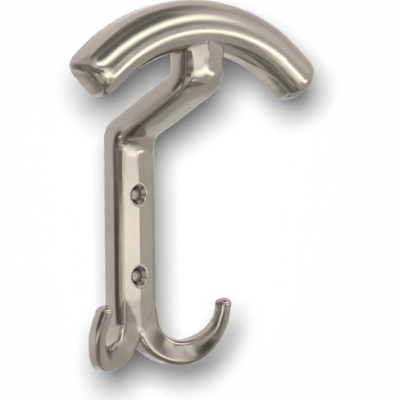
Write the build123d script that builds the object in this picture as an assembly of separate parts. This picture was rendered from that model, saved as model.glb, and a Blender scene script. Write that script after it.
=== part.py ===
from build123d import *
from math import cos, pi, radians, sin, tan
import os

# A wall coat hook of satin-nickel zinc castings.
# Frame: X to the right, Y into the wall, Z up. The wall is the plane Y = 0 and
# the origin is half-way between the two screw holes. "Forward" means along -Y.

# Driving dimensions, in millimetres and degrees

# Wall bar
bar_width = 20.0
bar_depth = 9.8                # wall to the ridge down the middle of the front
bar_ridge_rise = 1.0           # how far that ridge stands above the bar's sides
front_edge_radius = 3.1        # rounding of the long front edges of bar, stem and column
bar_foot = -41.2               # the fork between the hooks
foot_flare = 1.1               # how far the front swells towards the hooks at the foot
flare_height = -24.5           # where that starts
flare_radius = 30.0
foot_heel_height = 7.0         # slope at the back of the foot, behind the hooks
foot_heel_depth = 3.0
foot_edge_radius = 4.5         # rounding of the front's lower end, between the hooks

# Screw holes in the bar
screw_spacing = 32.0
screw_hole_diameter = 4.5
countersink_diameter = 8.6
countersink_angle = 90.0

# Stem and column
bend_height = 43.0             # where the back of the bar turns into the stem
stem_angle = 25.3              # above the horizontal
back_bend_radius = 8.5         # back of the bar into the stem
fold_radius = 3.2              # front of the bar into the stem, at the sides
ridge_fold_radius = 8.0        # and down the middle, where the bend is softer
knee_radius = 8.5              # front of the stem into the column, at the sides
ridge_knee_radius = 11.5       # and down the middle
column_back_radius = 1.5
column_standoff = 41.0         # wall to the back of the column
column_depth = 12.0            # back of the column to the ridge down its front
column_ridge_rise = 2.0        # how far that ridge stands above the column's sides

# Hanger bow
bow_setback = 1.2              # back of the bow in front of the back of the column
bow_top_height = 90.0
bow_outer_radius = 82.0
bow_width = 19.0               # from the top edge to the under edge
bow_half_angle = 47.0
bow_side_depth = 5.2           # the flat part of its sides
bow_crown = 7.2                # how far its rounded front stands past the flat sides
bow_end_radius = 4.8

# Lower hooks, sized on the right-hand one
hook_mouth_radius = 9.0
hook_mouth_height = -33.0      # centre of the mouth
hook_fork_thickness = 11.5     # in front view, where the hook leaves the bar
hook_heel_thickness = 10.0     # at its lowest point
hook_tip_thickness = 5.2
hook_tip_length = 5.4          # straight part above the centre of the mouth
hook_tip_dome = 2.6            # height of the rounded end above that
hook_tip_lean = 0.6            # how far that part leans towards the bar
hook_reach = 22.2              # how far forward the tip stands
hook_early_swing = 0.5         # share of that reach that is gained evenly along the hook
hook_late_swing = 1.6          # how late along the hook the rest is gained
hook_root_depth = 9.8
hook_tip_depth = 6.0
hook_edge_radius = 2.0         # rounding of its long front edges
hook_root_length = 8.5         # how far a hook runs up inside the bar
hook_root_shrink = 0.8         # and how slim it is at the top of that
hook_root_inset = 0.3          # how far it lies under the bar's side and back
hook_steps = 8
dome_steps = 5
dome_end_angle = 82.0
largest_corner = 0.45          # share of a hook's width that one rounded edge may take

# Joint between column and bow
tongue_width = 18.0
tongue_depth = 6.5
tongue_height = 13.5           # above the bow's under edge
tongue_root = 4.8              # how far the tongue runs down inside the column
tongue_clearance = 0.1
bow_screw_spacing = 8.8
bow_screw_drop = 6.0           # from the top of the tongue to the screws
screw_diameter = 4.0
screw_thread_length = 7.6
screw_head_diameter = 7.0
screw_head_height = 2.6
screw_slot_width = 1.2
screw_slot_depth = 1.1
screw_head_sink = 0.2          # head below the back of the tongue
screw_clearance = 0.15         # round the shank, the head and the washer
thread_tip_clearance = 0.3
washer_thickness = 1.2
washer_outer_diameter = 7.0
washer_inner_diameter = 4.3
washer_split = 0.7

# Worked out from the driving dimensions

half_bar = bar_width / 2
stem_rise = tan(radians(stem_angle))
stem_slant = 1 / cos(radians(stem_angle))
bow_standoff = column_standoff + bow_setback
bow_center_height = bow_top_height - bow_outer_radius
bow_mid_height = bow_top_height - bow_width / 2
bow_under_height = bow_top_height - bow_width
tongue_top = bow_under_height + tongue_height
bow_screw_height = tongue_top - bow_screw_drop
forward = Vector(0, -1, 0)
square_limit = 0.01            # a face that leans sideways by less than this is square to X


def solid_cylinder(radius, front, back, x, z):
    """A round bar along Y between two distances from the wall."""
    middle = Location((x, -(front + back) / 2, z), (90, 0, 0))
    return middle * Cylinder(radius, abs(front - back))


def solid_box(width, front, back, bottom, top):
    """A box about X = 0 between two distances from the wall."""
    middle = Location((0, -(front + back) / 2, (bottom + top) / 2))
    return middle * Box(width, abs(front - back), top - bottom)


# Hook body

def side_profile(x, depth, upper_depth, front_fold, front_knee):
    """Side outline of bar, stem and column, in the plane at x."""
    def stem_height(distance, below):
        return bend_height + distance * stem_rise - below * stem_slant

    column_front = column_standoff + upper_depth
    corners = [
        ((foot_heel_depth, bar_foot), 0),
        ((0, bar_foot + foot_heel_height), 0),
        ((0, bend_height), back_bend_radius),
        ((column_standoff, stem_height(column_standoff, 0)), column_back_radius),
        ((column_standoff, bow_mid_height), 0),
        ((column_front, bow_mid_height), 0),
        ((column_front, stem_height(column_front, depth)), front_knee),
        ((depth, stem_height(depth, depth)), front_fold),
        ((depth, flare_height), flare_radius),
        ((depth + foot_flare, bar_foot), foot_edge_radius),
    ]
    points = [(-distance, height) for (distance, height), _ in corners]
    radii = [radius for _, radius in corners]
    outline = FilletPolyline(*points, radius=radii, close=True)
    return Plane.YZ.offset(x) * make_face(outline)


def make_bent_bar():
    """Bar, stem and column in one bent strip with a ridge down its front."""
    side_depth = bar_depth - bar_ridge_rise
    side_column_depth = column_depth - column_ridge_rise
    edge = side_profile(-half_bar, side_depth, side_column_depth, fold_radius, knee_radius)
    ridge = side_profile(0, bar_depth, column_depth, ridge_fold_radius, ridge_knee_radius)
    strip = loft([edge, ridge, mirror(edge, about=Plane.YZ)], ruled=True)
    sides = strip.faces().filter_by(Axis.X)
    leaning = [face for face in strip.faces() if abs(face.normal_at().X) > square_limit]
    fronts = ShapeList(face for face in leaning if face not in sides)
    front_edges = fronts.edges()
    return fillet([edge for edge in sides.edges() if edge in front_edges], front_edge_radius)


def hook_section(share, shrink=1.0, lift=0.0):
    """Section of the right-hand hook after a share of its length, from bar to tip."""
    bend_length = pi * (hook_mouth_radius + hook_tip_thickness / 2)
    length = share * (bend_length + hook_tip_length)
    turn = pi * min(length / bend_length, 1)
    climb = max(length - bend_length, 0)
    lean = hook_tip_lean * climb / hook_tip_length
    mouth_x = half_bar - hook_root_inset + hook_mouth_radius - lean
    mouth_center = Vector(mouth_x, 0, hook_mouth_height + climb + lift)
    side_thickness = hook_fork_thickness if turn < pi / 2 else hook_tip_thickness
    inner = Vector(-cos(turn), 0, -sin(turn)) * hook_mouth_radius
    across = Vector(-cos(turn) * side_thickness, 0, -sin(turn) * hook_heel_thickness)
    # The reach grows along a soft S-curve, held back to late along the hook
    late = (share * share * (3 - 2 * share)) ** hook_late_swing
    swing = hook_early_swing * share + (1 - hook_early_swing) * late
    depth = hook_root_depth + (hook_tip_depth - hook_root_depth) * share * (2 - share)
    middle = hook_root_inset + hook_reach * swing + depth / 2
    center = mouth_center + inner + across / 2 + forward * middle
    width = across.length
    outline = Rectangle(width * shrink, depth * shrink)
    front_corners = outline.vertices().group_by(Axis.Y)[-1]
    corner_radius = min(hook_edge_radius, largest_corner * width) * shrink
    place = Plane(center, x_dir=across, z_dir=across.cross(forward))
    return place * fillet(front_corners, corner_radius)


def make_hook():
    """Right-hand hook: out of the bar, round its mouth and forward to its domed tip."""
    sections = [hook_section(step / hook_steps) for step in range(hook_steps + 1)]
    root = [hook_section(0, hook_root_shrink, hook_root_length), sections[0]]
    dome_angles = [radians(dome_end_angle) * step / dome_steps for step in range(dome_steps + 1)]
    dome = [hook_section(1, cos(angle), hook_tip_dome * sin(angle)) for angle in dome_angles]
    return loft(root, ruled=True) + loft(sections) + loft(dome)


def screw_holes():
    """The two countersunk holes through the bar."""
    hole_radius = screw_hole_diameter / 2
    rim_radius = countersink_diameter / 2
    spread = tan(radians(countersink_angle / 2))
    cone_depth = (rim_radius - hole_radius) / spread
    holes = []
    for height in (-screw_spacing / 2, screw_spacing / 2):
        holes.append(solid_cylinder(hole_radius, 2 * bar_depth, -bar_depth, 0, height))
        cone = Cone(hole_radius, rim_radius + cone_depth * spread, 2 * cone_depth)
        holes.append(Location((0, -bar_depth, height), (90, 0, 0)) * cone)
    return holes


def make_tongue():
    """Flat tongue on top of the column, with its two counterbored holes."""
    front = bow_standoff + tongue_depth
    tongue = solid_box(tongue_width, front, bow_standoff, bow_under_height - tongue_root, tongue_top)
    shank_radius = screw_diameter / 2 + screw_clearance
    head_radius = screw_head_diameter / 2 + screw_clearance
    seat = bow_standoff + screw_head_sink + screw_head_height + washer_thickness
    for x in bow_screw_places():
        tongue -= solid_cylinder(shank_radius, front + tongue_depth, 0, x, bow_screw_height)
        tongue -= solid_cylinder(head_radius, seat, 0, x, bow_screw_height)
    return tongue


def make_hook_body():
    body = make_bent_bar()
    hook = make_hook()
    body = body + hook + mirror(hook, about=Plane.YZ)
    body = body - screw_holes() - make_bow_blank()
    body = body - solid_box(2 * bar_width, bow_standoff, 0, bow_under_height, bow_top_height)
    return body + make_tongue()


# Hanger bow

def make_bow_blank():
    """The bow before its pocket and holes are made."""
    front = bow_standoff + bow_side_depth
    half_width = bow_width / 2
    crown_center = (-front, bow_mid_height)
    crown = EllipticalCenterArc(crown_center, bow_crown, half_width, start_angle=90, arc_size=180)
    sides = Polyline(
        (-front, bow_under_height),
        (-bow_standoff, bow_under_height),
        (-bow_standoff, bow_top_height),
        (-front, bow_top_height),
    )
    section = Plane.YZ * make_face([crown, sides])
    axis = Axis((0, 0, bow_center_height), (0, 1, 0))
    bow = revolve(section.rotate(axis, -bow_half_angle), axis, 2 * bow_half_angle)
    ends = bow.faces().filter_by(GeomType.PLANE).sort_by(Axis.Y)[:-1]
    round_edges = [edge for end in ends for edge in end.edges().sort_by(Axis.Y)[:-1]]
    return fillet(round_edges, bow_end_radius)


def bow_screw_places():
    return (-bow_screw_spacing / 2, bow_screw_spacing / 2)


def make_hanger_bow():
    bow = make_bow_blank()
    pocket_width = tongue_width + 2 * tongue_clearance
    pocket_front = bow_standoff + tongue_depth + tongue_clearance
    bow -= solid_box(pocket_width, pocket_front, 0, 0, tongue_top + tongue_clearance)
    thread_end = bow_standoff + screw_head_sink + screw_head_height + screw_thread_length
    hole_end = thread_end + thread_tip_clearance
    for x in bow_screw_places():
        bow -= solid_cylinder(screw_diameter / 2, hole_end, 0, x, bow_screw_height)
    return bow


# Fasteners of the bow

def make_bow_screw(x):
    """One slotted cheese-head screw, its head towards the wall."""
    head_back = bow_standoff + screw_head_sink
    head_front = head_back + screw_head_height
    thread_end = head_front + screw_thread_length
    screw = solid_cylinder(screw_head_diameter / 2, head_front, head_back, x, bow_screw_height)
    screw += solid_cylinder(screw_diameter / 2, thread_end, head_back, x, bow_screw_height)
    slot_middle = Location((x, -(head_back + screw_slot_depth / 2), bow_screw_height))
    return screw - slot_middle * Box(screw_head_diameter * 2, screw_slot_depth, screw_slot_width)


def make_lock_washer(x):
    """One split spring washer, flat under the screw's head."""
    back = bow_standoff + screw_head_sink + screw_head_height
    front = back + washer_thickness
    washer = solid_cylinder(washer_outer_diameter / 2, front, back, x, bow_screw_height)
    washer -= solid_cylinder(washer_inner_diameter / 2, 2 * front, 0, x, bow_screw_height)
    split_middle = Location((x, -(front + back) / 2, bow_screw_height + washer_outer_diameter / 2))
    return washer - split_middle * Box(washer_split, washer_thickness * 2, washer_outer_diameter)


parts = {
    "hook_body": make_hook_body(),
    "hanger_bow": make_hanger_bow(),
    "bow_screws": Compound([make_bow_screw(x).solid() for x in bow_screw_places()]),
    "lock_washers": Compound([make_lock_washer(x).solid() for x in bow_screw_places()]),
}
os.makedirs("parts", exist_ok=True)
for name, shape in parts.items():
    export_step(shape, f"parts/{name}.step")
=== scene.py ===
"""Looks of a wall coat hook: satin nickel castings on a pale studio sweep, seen from the front left."""

import math

import bpy
import numpy as np
from mathutils import Matrix, Vector


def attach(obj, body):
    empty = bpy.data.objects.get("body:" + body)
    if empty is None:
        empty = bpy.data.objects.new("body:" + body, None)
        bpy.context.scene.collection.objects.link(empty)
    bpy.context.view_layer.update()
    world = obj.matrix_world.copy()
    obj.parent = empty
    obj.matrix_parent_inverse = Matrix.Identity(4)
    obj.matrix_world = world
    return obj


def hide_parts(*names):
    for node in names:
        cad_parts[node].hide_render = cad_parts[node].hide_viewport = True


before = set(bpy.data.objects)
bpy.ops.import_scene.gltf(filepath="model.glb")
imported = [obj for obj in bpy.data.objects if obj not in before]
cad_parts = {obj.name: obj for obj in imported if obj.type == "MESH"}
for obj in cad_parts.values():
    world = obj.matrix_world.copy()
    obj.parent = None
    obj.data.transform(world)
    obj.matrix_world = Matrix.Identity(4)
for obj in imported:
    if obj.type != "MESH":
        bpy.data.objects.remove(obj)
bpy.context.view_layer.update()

# Camera, in metres and degrees, with lens and sensor in millimetres
CAMERA_AIM = Vector((0.013975, -0.030, 0.013898))
CAMERA_DISTANCE = 0.80569
CAMERA_LEFT = 40.3306
CAMERA_RISE = 1.1274
CAMERA_ROLL = 0.5408
CAMERA_LENS = 186.42
CAMERA_SENSOR = 36.0
CAMERA_NEAR = 0.01
CAMERA_FAR = 20.0

# Stage, in metres
WALL_PLACE = 0.30
FLOOR_PLACE = -0.26
COVE_RADIUS = 0.12
COVE_STEPS = 12
STAGE_REACH = 10.0
STAGE_WHITE = (0.92, 0.92, 0.92, 1)
STAGE_BOUNCE = (0.15, 0.15, 0.15, 1)

# Light of the world on matt surfaces; the camera and the reflections see it white
FILL_LEVEL = 0.03

# Lamp beside the camera, in metres and watts
LAMP_LEFT = 0.0088
LAMP_ABOVE = 0.0245
LAMP_SIZE = 0.059
WALL_LAMP_POWER = 9.35

# Sun lamp for the floor, with the angle in degrees
FLOOR_LAMP_POWER = 2.4
FLOOR_LAMP_ANGLE = 25
FLOOR_LAMP_PLACE = Vector((0, 0, 1))
FLOOR_LAMP_TRAVEL = Vector((0.05, 0, -1))

# Cards stand round this place, in metres
CARD_PLACE = -0.03

# Cards are built in steps of some degrees, end short of straight up, and go some fades past their limits
CARD_STEP = 1.2
CARD_HIGHEST = 89
CARD_FADES = 4

# Warmth of the cards: a flag's grows as it darkens, and it takes away these shares of red and blue
SOFT_BOX_WARMTH = 0.4
WARM_RED_LOSS = 0.03
WARM_BLUE_LOSS = 0.18

# Cards that the metal reflects: soft boxes have a level above 1, gray and dark flags one below 1
# Name, height of centre and distance in metres, azimuths and elevations in degrees, level, fade
CARDS = (
    ("gray_left_front_near", -0.014, 0.14, (-65.3, -21.6), (-47.6, 2.0), 0.68, 1.2),
    ("gray_left_near", 0.107, 0.15, (-98.0, -58.6), (-33.8, -10.8), 0.39, 2.8),
    ("soft_left_front_near", -0.058, 0.16, (-38.7, -7.3), (-11.8, 5.3), 1.30, 1.4),
    ("soft_front_near", -0.081, 0.17, (9.3, 21.6), (-6.9, 6.8), 1.80, 2.5),
    ("soft_left_front_strip", -0.073, 0.19, (-65.6, 2.0), (0.1, 11.0), 1.13, 5.6),
    ("dark_left_near", 0.053, 0.24, (-100.9, -45.8), (-51.6, -14.7), 0.17, 3.4),
    ("gray_strip_low", -0.082, 0.24, (-144.4, 47.3), (-36.9, -33.9), 0.80, 1.8),
    ("dark_front_low_near", 0.097, 0.25, (12.5, 33.8), (-39.4, -28.2), 0.03, 5.4),
    ("dark_left_strip", 0.056, 0.33, (-118.2, 3.2), (-9.3, 2.1), 0.24, 0.8),
    ("gray_right_low", 0.079, 0.36, (56.8, 123.3), (-78.6, -10.2), 0.62, 0.7),
    ("dark_over", 0.026, 0.38, (-69.3, 72.3), (50.9, 84.7), 0.17, 5.8),
    ("soft_front_strip", -0.038, 0.43, (-50.5, 16.2), (2.7, 14.0), 1.43, 2.4),
    ("soft_left_low", -0.078, 0.44, (-105.4, -28.6), (-39.8, -12.9), 2.43, 1.3),
    ("soft_front_wide", 0.015, 0.48, (-13.8, 21.0), (4.1, 10.9), 1.89, 1.0),
    ("gray_right_front_low", -0.032, 0.53, (29.1, 62.6), (-17.5, -9.1), 0.35, 1.8),
    ("gray_left_high", 0.070, 0.58, (-119.9, -38.2), (15.9, 65.0), 0.72, 0.7),
    ("soft_high", 0.006, 0.62, (-21.9, 44.5), (21.0, 34.2), 2.81, 1.8),
    ("gray_left_under", 0.011, 0.73, (-197.0, -31.4), (-94.0, -39.8), 0.35, 5.1),
    ("gray_right_back", 0.002, 1.02, (92.5, 155.9), (-43.7, -10.6), 0.80, 0.5),
    ("soft_front_low", -0.035, 1.08, (-6.1, 10.0), (-29.8, 0.2), 1.50, 3.2),
    ("soft_right_front_upright", -0.013, 1.20, (21.6, 30.5), (-25.5, 1.8), 2.86, 1.8),
    ("gray_right_front", -0.022, 1.24, (38.3, 67.2), (-6.5, 7.7), 0.78, 0.7),
    ("dark_front_high", 0.016, 1.29, (-16.5, 40.6), (2.9, 52.4), 0.27, 0.8),
    ("dark_right_under", -0.031, 1.29, (-40.2, 148.2), (-92.6, -41.5), 0.26, 1.9),
    ("gray_left_back_low", -0.021, 1.30, (-127.3, -87.8), (-35.6, -6.8), 0.37, 0.7),
    ("soft_right_front_low", -0.005, 1.30, (4.3, 69.1), (-22.2, -3.4), 2.90, 1.8),
    ("gray_right", 0.102, 1.30, (64.7, 108.2), (-62.8, 40.2), 0.81, 0.5),
    ("dark_left", -0.011, 1.30, (-130.3, -43.5), (-17.6, 14.5), 0.02, 5.2),
    ("dark_front_low", -0.031, 1.30, (-55.5, 16.7), (-59.2, -1.5), 0.08, 1.3),
    ("gray_right_front_lower", -0.026, 1.33, (27.8, 91.5), (-37.8, -27.1), 0.51, 5.8),
)

# Colours of the metals, linear, and roughness of the steels
NICKEL = (0.440, 0.392, 0.350)
ZINC = (0.50, 0.51, 0.53)
SPRING_STEEL = (0.30, 0.29, 0.28)
SCREW_ROUGHNESS = 0.22
WASHER_ROUGHNESS = 0.30
ROUGHNESS_SPREAD = 0.15

# Nickel: grain per metre across and along the brushing, and reach of edges and of the painted shade in
# corners, in metres
GRAIN_SCALE = (2600, 2600, 160)
EDGE_RADIUS = 0.0004
PAINTED_SHADE_REACH = 0.0022

# Nickel: the middle range of the grain's noise, and what edges and clouds add; the edges' lift in colour is
# a painted highlight
GRAIN_RANGE = (0.3, 0.7)
EDGE_PAINTED_HIGHLIGHT = 0.25
EDGE_SMOOTHER = -0.05
CLOUD_ROUGHER = 0.03

# The bow's arc, in metres: its centre is on this height
ARC_CENTRE_HEIGHT = 0.008
ARC_RADIUS = 0.072

# Polishing of both castings: cells of the even mesh in metres, and rounds
POLISH_VOXEL = 0.00035
POLISH_ROUNDS = 200

# Share of the way to the middle of its neighbours that a point goes in one round
COLUMN_POLISH = 0.40
FOLD_POLISH = 0.40
END_POLISH = 0.50
TIP_POLISH = 0.010
BOW_POLISH = 0.012

# The same share on the rest of the body: pairs of a height in metres and the share there
BODY_BY_HEIGHT = (
    (-0.024, 0.024),
    (-0.016, 0.012),
    (0.022, 0.012),
    (0.030, 0.075),
    (0.066, 0.075),
    (0.070, 0.024),
)

# Factors on those shares: pairs of a place in metres and the factor there
FORK_BY_HEIGHT = ((-0.036, 1.0), (-0.028, 0.0))
HOOKS_BY_SPREAD = ((0.007, 1.0), (0.010, 0.2))
WALL_BY_DEPTH = ((-0.004, 1.0), (-0.001, 0.1))
COLUMN_BY_DEPTH = ((-0.047, 1.0), (-0.042, 0.0))
COLUMN_BY_HEIGHT = ((0.031, 0.0), (0.037, 1.0), (0.0675, 1.0), (0.0700, 0.0))
FOLD_BY_DEPTH = ((-0.010, 1.0), (-0.006, 0.0))
FOLD_BY_HEIGHT = ((0.018, 0.0), (0.036, 1.0), (0.041, 1.0), (0.046, 0.0))
HOLE_BY_RADIUS = ((0.0048, 0.15), (0.0060, 1.0))
BOW_BY_DEPTH = ((-0.0475, 1.0), (-0.0440, 0.0))
BOW_BY_SPREAD = ((0.038, 0.0), (0.045, 1.0))

# Places on the body, in metres
HOLE_HEIGHTS = (-0.016, 0.016)
TIP_INSIDE = 0.012
TIP_BOTTOM = -0.0276
TIP_TOP = 0.0
TONGUE_BOTTOM = 0.0705
TONGUE_FRONT = -0.0492
TONGUE_SIDE = 0.0093

# How far the column's rim goes up under the bow's skin, in metres, by height
SEAM_OVERLAP = 0.0009
RIM_BY_HEIGHT = ((0.069, 0.0), (0.0712, SEAM_OVERLAP))


def direction(azimuth, elevation):
    """Unit vector away from the object: azimuth 0 is straight out from the wall, 90 is right."""
    a = math.radians(azimuth)
    e = math.radians(elevation)
    return Vector((math.sin(a) * math.cos(e), -math.cos(a) * math.cos(e), math.sin(e)))


def new_object(name, vertices, faces):
    """Mesh object in the scene."""
    mesh = bpy.data.meshes.new(name)
    mesh.from_pydata(vertices, [], faces)
    mesh.update()
    piece = bpy.data.objects.new(name, mesh)
    bpy.context.scene.collection.objects.link(piece)
    return piece


def new_material(name):
    """Empty node material and its output node."""
    material = bpy.data.materials.new(name)
    material.use_nodes = True
    tree = material.node_tree
    tree.nodes.clear()
    output = tree.nodes.new("ShaderNodeOutputMaterial")
    return material, tree, output


def add_node(tree, kind, inputs=None, **settings):
    """New shader node, with its settings and its input values or links."""
    node = tree.nodes.new(kind)
    for name, value in settings.items():
        setattr(node, name, value)
    for name, value in (inputs or {}).items():
        if isinstance(value, bpy.types.NodeSocket):
            tree.links.new(value, node.inputs[name])
        else:
            node.inputs[name].default_value = value
    return node


def math_node(tree, operation, *values):
    """Output of a math node that works on the values given."""
    node = add_node(tree, "ShaderNodeMath", dict(enumerate(values)), operation=operation)
    return node.outputs[0]


def noise(tree, place, scale, detail, roughness=0.5):
    """Noise texture at a place."""
    inputs = {"Vector": place, "Scale": scale, "Detail": detail, "Roughness": roughness}
    return add_node(tree, "ShaderNodeTexNoise", inputs).outputs["Fac"]


def moved_range(tree, value, old, new):
    """The value moved from the old range to the new one, and kept inside it."""
    inputs = {"Value": value, "From Min": old[0], "From Max": old[1], "To Min": new[0], "To Max": new[1]}
    return add_node(tree, "ShaderNodeMapRange", inputs).outputs["Result"]


def two_tones(tree, mix, base, dark, light):
    """Colour from a darker to a lighter tone of the base: each is a place on the mix and a factor."""
    ramp = add_node(tree, "ShaderNodeValToRGB", {"Fac": mix})
    for stop, (position, factor) in zip(ramp.color_ramp.elements, (dark, light)):
        stop.position = position
        stop.color = (*[c * factor for c in base], 1)
    return ramp.outputs["Color"]


def scaled(tree, colour, factor):
    """The colour times the factor."""
    inputs = {0: colour, "Scale": factor}
    return add_node(tree, "ShaderNodeVectorMath", inputs, operation="SCALE").outputs["Vector"]


def bumped(tree, height, strength, distance, normal=None):
    """Normal that follows the height, on top of the normal given or of the surface's own."""
    inputs = {"Height": height, "Strength": strength, "Distance": distance}
    if normal is not None:
        inputs["Normal"] = normal
    return add_node(tree, "ShaderNodeBump", inputs).outputs["Normal"]


def metal_surface(tree, output, colour, roughness, normal):
    """Metal as the surface of a material."""
    inputs = {"Base Color": colour, "Metallic": 1.0, "Roughness": roughness, "Normal": normal}
    shader = add_node(tree, "ShaderNodeBsdfPrincipled", inputs)
    tree.links.new(shader.outputs["BSDF"], output.inputs["Surface"])


def upright_grain(tree):
    """Coordinates of the object, in metres: the third axis is upright, as the body's brushing is."""
    return add_node(tree, "ShaderNodeTexCoord").outputs["Object"]


def arc_grain(tree):
    """Coordinates whose third axis runs along the arc of the bow."""
    parts = add_node(tree, "ShaderNodeSeparateXYZ", {"Vector": upright_grain(tree)})
    height = math_node(tree, "SUBTRACT", parts.outputs["Z"], ARC_CENTRE_HEIGHT)
    angle = math_node(tree, "ARCTAN2", parts.outputs["X"], height)
    along = math_node(tree, "MULTIPLY", angle, ARC_RADIUS)
    across_square = math_node(tree, "MULTIPLY", parts.outputs["X"], parts.outputs["X"])
    height_square = math_node(tree, "MULTIPLY", height, height)
    radius = math_node(tree, "SQRT", math_node(tree, "ADD", across_square, height_square))
    inputs = {"X": radius, "Y": parts.outputs["Y"], "Z": along}
    return add_node(tree, "ShaderNodeCombineXYZ", inputs).outputs["Vector"]


def edge_wear_and_highlight(tree, rounded, wear):
    """Where the rounded normal turns away from the true one, broken up by the wear: edges that get a
    painted highlight in colour and real wear in roughness.
    """
    true_normal = add_node(tree, "ShaderNodeNewGeometry").outputs["Normal"]
    turn = add_node(tree, "ShaderNodeVectorMath", {0: rounded, 1: true_normal}, operation="DOT_PRODUCT")
    edge = moved_range(tree, turn.outputs["Value"], old=(1.0, 0.93), new=(0.0, 1.0))
    return math_node(tree, "MULTIPLY", edge, wear)


def satin_nickel(name, grain_place):
    """Nickel plate over a brushed casting: fine grain, soft clouding, glossier edges with a painted
    highlight, painted shade in corners and recesses.
    """
    material, tree, output = new_material(name)
    place = upright_grain(tree)
    stretched = add_node(tree, "ShaderNodeMapping", {"Vector": grain_place(tree), "Scale": GRAIN_SCALE})
    grain = noise(tree, stretched.outputs["Vector"], scale=1.0, detail=3.0, roughness=0.6)
    clouds = noise(tree, place, scale=60.0, detail=3.0)
    peel = noise(tree, place, scale=420.0, detail=2.0)
    rounded = add_node(tree, "ShaderNodeBevel", {"Radius": EDGE_RADIUS}, samples=6).outputs["Normal"]
    wear_and_highlight = edge_wear_and_highlight(tree, rounded, peel)
    # Occlusion mask that darkens the colour in corners, seams and countersinks: painted shade
    painted_shade_occlusion = add_node(tree, "ShaderNodeAmbientOcclusion", {"Distance": PAINTED_SHADE_REACH}, samples=8)

    # Colour: clouds, grain, painted shade in corners and recesses, and a painted highlight on the edges
    tone = two_tones(tree, clouds, NICKEL, dark=(0.30, 0.94), light=(0.70, 1.05))
    grain_light = moved_range(tree, grain, old=GRAIN_RANGE, new=(0.95, 1.04))
    # Colour darker where the occlusion is: painted shade in corners and recesses
    painted_corner_shade = moved_range(tree, painted_shade_occlusion.outputs["AO"], old=(0.2, 0.9), new=(0.62, 1.0))
    # Edges lighter in colour: a painted highlight
    painted_edge_highlight = math_node(tree, "MULTIPLY_ADD", wear_and_highlight, EDGE_PAINTED_HIGHLIGHT, 1.0)
    colour = scaled(tree, scaled(tree, scaled(tree, tone, grain_light), painted_corner_shade), painted_edge_highlight)

    # Roughness: satin grain, duller in the clouds, glossier on the edges
    satin = moved_range(tree, grain, old=GRAIN_RANGE, new=(0.10, 0.14))
    dull = math_node(tree, "MULTIPLY_ADD", clouds, CLOUD_ROUGHER, satin)
    gloss = math_node(tree, "MULTIPLY_ADD", wear_and_highlight, EDGE_SMOOTHER, dull)

    grain_normal = bumped(tree, grain, strength=0.06, distance=0.00006, normal=rounded)
    peel_normal = bumped(tree, peel, strength=0.02, distance=0.0002, normal=grain_normal)
    metal_surface(tree, output, colour, gloss, peel_normal)
    return material


def turned_steel(name, base, roughness):
    """Plated screw or washer steel with fine turned rings and mottled plating."""
    material, tree, output = new_material(name)
    place = upright_grain(tree)
    mottle = noise(tree, place, scale=900.0, detail=4.0)
    rings = add_node(
        tree,
        "ShaderNodeTexWave",
        {"Vector": place, "Scale": 1500.0, "Distortion": 2.0, "Detail": 1.0},
        wave_type="BANDS",
        bands_direction="Y",
    ).outputs["Fac"]
    tone = two_tones(tree, mottle, base, dark=(0.30, 0.82), light=(0.72, 1.08))
    dull = moved_range(tree, mottle, old=(0.3, 0.7), new=(roughness, roughness + ROUGHNESS_SPREAD))
    ring_normal = bumped(tree, rings, strength=0.12, distance=0.00005)
    metal_surface(tree, output, tone, dull, ring_normal)
    return material


def dress(piece, material):
    """The piece takes the material in its one slot."""
    piece.data.materials.clear()
    piece.data.materials.append(material)


def read_table(values, table):
    """What a table of pairs says for each value, on straight lines between the pairs."""
    places, results = zip(*table)
    return np.interp(values, places, results)


def body_polish(points):
    """Share of each point of the body in one polishing round: most on the column's front and the fold."""
    x, y, z = points.T
    spread = np.abs(x)
    spared = read_table(z, FORK_BY_HEIGHT) * (1 - read_table(spread, HOOKS_BY_SPREAD))
    share = read_table(z, BODY_BY_HEIGHT) * (1 - spared) * read_table(y, WALL_BY_DEPTH)
    tips = (spread > TIP_INSIDE) & (z > TIP_BOTTOM) & (z < TIP_TOP)
    share[tips] = TIP_POLISH
    column = read_table(y, COLUMN_BY_DEPTH) * read_table(z, COLUMN_BY_HEIGHT)
    fold = read_table(y, FOLD_BY_DEPTH) * read_table(z, FOLD_BY_HEIGHT) ** 2
    share = np.maximum(share, np.maximum(COLUMN_POLISH * column, FOLD_POLISH * fold))
    tongue = (z > TONGUE_BOTTOM) & (y > TONGUE_FRONT)
    share[tongue] = 0.0
    for height in HOLE_HEIGHTS:
        share = share * read_table(np.hypot(x, z - height), HOLE_BY_RADIUS)
    return share


def bow_polish(points):
    """Share of each point of the bow in one polishing round: most where its front turns into its ends."""
    front = read_table(points[:, 1], BOW_BY_DEPTH)
    ends = read_table(np.abs(points[:, 0]), BOW_BY_SPREAD)
    return np.maximum(BOW_POLISH, END_POLISH * front * ends)


def rim_lift(points):
    """How far the column's outer rim is drawn up under the bow's skin, so that the seam is a clean line."""
    x, y, z = points.T
    outer = (y < TONGUE_FRONT) | (np.abs(x) > TONGUE_SIDE)
    return np.where(outer, read_table(z, RIM_BY_HEIGHT), 0.0)


def even_copy(node, name):
    """Copy of a CAD casting with a mesh of even cells."""
    rough = bpy.data.objects.new(name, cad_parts[node].data.copy())
    bpy.context.scene.collection.objects.link(rough)
    remesh = rough.modifiers.new("even_mesh", "REMESH")
    remesh.mode = "VOXEL"
    remesh.voxel_size = POLISH_VOXEL
    remesh.use_smooth_shade = True
    graph = bpy.context.evaluated_depsgraph_get()
    mesh = bpy.data.meshes.new_from_object(rough.evaluated_get(graph))
    rough.modifiers.clear()
    rough.data = mesh
    return rough


def polish_rounds(points, edges, share):
    """Moves each point its share of the way to the middle of its neighbours, round after round."""
    count = len(points)
    first, second = edges.T
    neighbours = np.bincount(edges.ravel(), minlength=count)
    middle = np.empty_like(points)
    for _ in range(POLISH_ROUNDS):
        for axis in range(3):
            sums = np.bincount(first, points[second, axis], count)
            sums += np.bincount(second, points[first, axis], count)
            middle[:, axis] = sums / neighbours
        points += share[:, None] * (middle - points)


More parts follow.
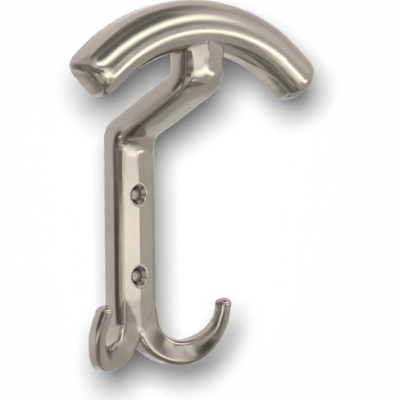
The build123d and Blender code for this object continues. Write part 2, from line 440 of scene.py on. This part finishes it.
def polished_copy(node, name, polish, lift=None):
    """Copy of a CAD casting with its creases polished soft; it stands for the node."""
    rough = even_copy(node, name)
    mesh = rough.data
    points = np.empty(len(mesh.vertices) * 3)
    mesh.vertices.foreach_get("co", points)
    points = points.reshape(-1, 3)
    edges = np.empty(len(mesh.edges) * 2, int)
    mesh.edges.foreach_get("vertices", edges)
    polish_rounds(points, edges.reshape(-1, 2), polish(points))
    if lift:
        points[:, 2] += lift(points)
    mesh.vertices.foreach_set("co", points.ravel())
    mesh.update()
    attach(rough, "root")
    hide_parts(node)
    return rough


def stage_material():
    """Matt white sweep that is see-through from behind, and darker to bounced light."""
    material, tree, output = new_material("stage_white")
    bounced = add_node(tree, "ShaderNodeLightPath").outputs["Is Diffuse Ray"]
    tones = {"Factor": bounced, "A": STAGE_WHITE, "B": STAGE_BOUNCE}
    tone = add_node(tree, "ShaderNodeMix", tones, data_type="RGBA")
    matt = add_node(tree, "ShaderNodeBsdfDiffuse", {"Color": tone.outputs["Result"]})
    clear = add_node(tree, "ShaderNodeBsdfTransparent")
    behind = add_node(tree, "ShaderNodeNewGeometry").outputs["Backfacing"]
    sides = {0: behind, 1: matt.outputs["BSDF"], 2: clear.outputs["BSDF"]}
    mix = add_node(tree, "ShaderNodeMixShader", sides)
    tree.links.new(mix.outputs["Shader"], output.inputs["Surface"])
    return material


def build_stage():
    """Floor that sweeps up into a wall behind the object, square to the camera."""
    profile = [(-STAGE_REACH, FLOOR_PLACE)]
    for step in range(COVE_STEPS + 1):
        a = math.radians(90 * step / COVE_STEPS)
        y = WALL_PLACE - COVE_RADIUS + COVE_RADIUS * math.sin(a)
        z = FLOOR_PLACE + COVE_RADIUS - COVE_RADIUS * math.cos(a)
        profile.append((y, z))
    profile.append((WALL_PLACE, STAGE_REACH))
    away = -direction(-CAMERA_LEFT, 0)
    side = Vector((away.y, -away.x, 0))
    vertices = []
    for x in (-STAGE_REACH, STAGE_REACH):
        for y, z in profile:
            vertices.append(x * side + y * away + Vector((0, 0, z)))
    count = len(profile)
    faces = [(i, i + count, i + count + 1, i + 1) for i in range(count - 1)]
    sweep = new_object("stage_sweep", vertices, faces)
    for face in sweep.data.polygons:
        face.use_smooth = True
    sweep.data.materials.append(stage_material())
    sweep.visible_glossy = False


def card_material(name, level):
    """Even light of one level that fades out at the card's border."""
    material, tree, output = new_material(name)
    warmth = 1 - level if level < 1 else SOFT_BOX_WARMTH
    colour = (1 - WARM_RED_LOSS * warmth, 1.0, 1 - WARM_BLUE_LOSS * warmth, 1)
    glow = add_node(tree, "ShaderNodeEmission", {"Color": colour, "Strength": level})
    clear = add_node(tree, "ShaderNodeBsdfTransparent")
    inside = add_node(tree, "ShaderNodeAttribute", attribute_name="inside").outputs["Fac"]
    sides = {0: inside, 1: clear.outputs["BSDF"], 2: glow.outputs["Emission"]}
    mix = add_node(tree, "ShaderNodeMixShader", sides)
    tree.links.new(mix.outputs["Shader"], output.inputs["Surface"])
    return material


def soft_edge(distance, fade):
    """Goes from 0 outside an edge to 1 inside it."""
    return 1 / (1 + math.exp(-distance / fade))


def soft_band(angle, limits, fade):
    """Goes from 0 outside the limits to 1 between them."""
    return soft_edge(angle - limits[0], fade) * soft_edge(limits[1] - angle, fade)


def even_angles(low, high):
    """Angles from low to high in even steps of about CARD_STEP."""
    steps = math.ceil((high - low) / CARD_STEP)
    return [low + (high - low) * i / steps for i in range(steps + 1)]


def build_card(name, height, distance, azimuths, elevations, level, fade):
    """Curved card round the object that only reflections see: a soft box, or a dark or gray flag."""
    centre = Vector((0, CARD_PLACE, height))
    reach = CARD_FADES * fade
    across = even_angles(azimuths[0] - reach, azimuths[1] + reach)
    lowest = max(elevations[0] - reach, -CARD_HIGHEST)
    highest = min(elevations[1] + reach, CARD_HIGHEST)
    upward = even_angles(lowest, highest)
    vertices = []
    inside = []
    for azimuth in across:
        for elevation in upward:
            vertices.append(centre + distance * direction(azimuth, elevation))
            inside.append(soft_band(azimuth, azimuths, fade) * soft_band(elevation, elevations, fade))
    rows = len(upward)
    faces = []
    for i in range(len(across) - 1):
        for j in range(rows - 1):
            first = i * rows + j
            faces.append((first, first + rows, first + rows + 1, first + 1))
    card = new_object(name, vertices, faces)
    values = card.data.attributes.new("inside", "FLOAT", "POINT")
    values.data.foreach_set("value", inside)
    card.data.materials.append(card_material(name, level))
    card.visible_camera = False
    card.visible_diffuse = False
    card.visible_transmission = False
    card.visible_shadow = False


def camera_axes():
    """Directions from the aim back to the camera, to its right and up."""
    back = direction(-CAMERA_LEFT, CAMERA_RISE)
    right = (-back).cross(Vector((0, 0, 1))).normalized()
    return back, right, right.cross(-back)


def add_lamp(name, kind, power, place, travel, **settings):
    """Lamp that the metal doesn't reflect and the camera doesn't see."""
    lamp = bpy.data.lights.new(name, kind)
    lamp.energy = power
    for setting, value in settings.items():
        setattr(lamp, setting, value)
    if kind == "AREA":
        # Its light doesn't weaken with distance
        lamp.use_nodes = True
        tree = lamp.node_tree
        even = add_node(tree, "ShaderNodeLightFalloff", {"Strength": 1.0}).outputs["Constant"]
        tree.links.new(even, tree.nodes["Emission"].inputs["Strength"])
    stand = bpy.data.objects.new(name, lamp)
    stand.location = place
    stand.rotation_mode = "QUATERNION"
    stand.rotation_quaternion = travel.to_track_quat("-Z", "Y")
    stand.visible_glossy = False
    stand.visible_camera = False
    bpy.context.scene.collection.objects.link(stand)


def build_lights():
    """Cards for the reflections, a lamp beside the camera that throws the shadow, and one for the floor."""
    for card in CARDS:
        build_card(*card)
    back, right, up = camera_axes()
    beside_camera = CAMERA_AIM + CAMERA_DISTANCE * back - LAMP_LEFT * right + LAMP_ABOVE * up
    add_lamp("wall_lamp", "AREA", WALL_LAMP_POWER, beside_camera, -back, shape="DISK", size=LAMP_SIZE)
    angle = math.radians(FLOOR_LAMP_ANGLE)
    add_lamp("floor_lamp", "SUN", FLOOR_LAMP_POWER, FLOOR_LAMP_PLACE, FLOOR_LAMP_TRAVEL, angle=angle)


def build_world():
    """White for the camera and for reflections, a soft fill for matt surfaces."""
    world = bpy.data.worlds.new("studio")
    world.use_nodes = True
    tree = world.node_tree
    tree.nodes.clear()
    path = add_node(tree, "ShaderNodeLightPath")
    seen = math_node(tree, "MAXIMUM", path.outputs["Is Camera Ray"], path.outputs["Is Glossy Ray"])
    shown = math_node(tree, "MAXIMUM", seen, path.outputs["Is Transmission Ray"])
    strength = math_node(tree, "MULTIPLY_ADD", shown, 1.0 - FILL_LEVEL, FILL_LEVEL)
    sky = add_node(tree, "ShaderNodeBackground", {"Color": (1, 1, 1, 1), "Strength": strength})
    output = tree.nodes.new("ShaderNodeOutputWorld")
    tree.links.new(sky.outputs["Background"], output.inputs["Surface"])
    bpy.context.scene.world = world


def build_camera():
    """Camera at the photograph's place, with its small roll."""
    back, right, up = camera_axes()
    roll = math.radians(CAMERA_ROLL)
    side = math.cos(roll) * right - math.sin(roll) * up
    top = math.sin(roll) * right + math.cos(roll) * up
    turn = Matrix((side, top, back)).transposed()
    data = bpy.data.cameras.new("camera")
    data.lens = CAMERA_LENS
    data.sensor_width = CAMERA_SENSOR
    data.clip_start = CAMERA_NEAR
    data.clip_end = CAMERA_FAR
    camera = bpy.data.objects.new("camera", data)
    camera.matrix_world = Matrix.Translation(CAMERA_AIM + CAMERA_DISTANCE * back) @ turn.to_4x4()
    bpy.context.scene.collection.objects.link(camera)
    bpy.context.scene.camera = camera


body = polished_copy("hook_body", "hook_body_casting", body_polish, rim_lift)
dress(body, satin_nickel("body_nickel", upright_grain))
bow = polished_copy("hanger_bow", "hanger_bow_casting", bow_polish)
dress(bow, satin_nickel("bow_nickel", arc_grain))
dress(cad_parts["bow_screws"], turned_steel("screw_steel", ZINC, SCREW_ROUGHNESS))
dress(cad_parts["lock_washers"], turned_steel("washer_steel", SPRING_STEEL, WASHER_ROUGHNESS))
build_stage()
build_lights()
build_world()
build_camera()
bpy.context.scene.view_settings.view_transform = "Standard"
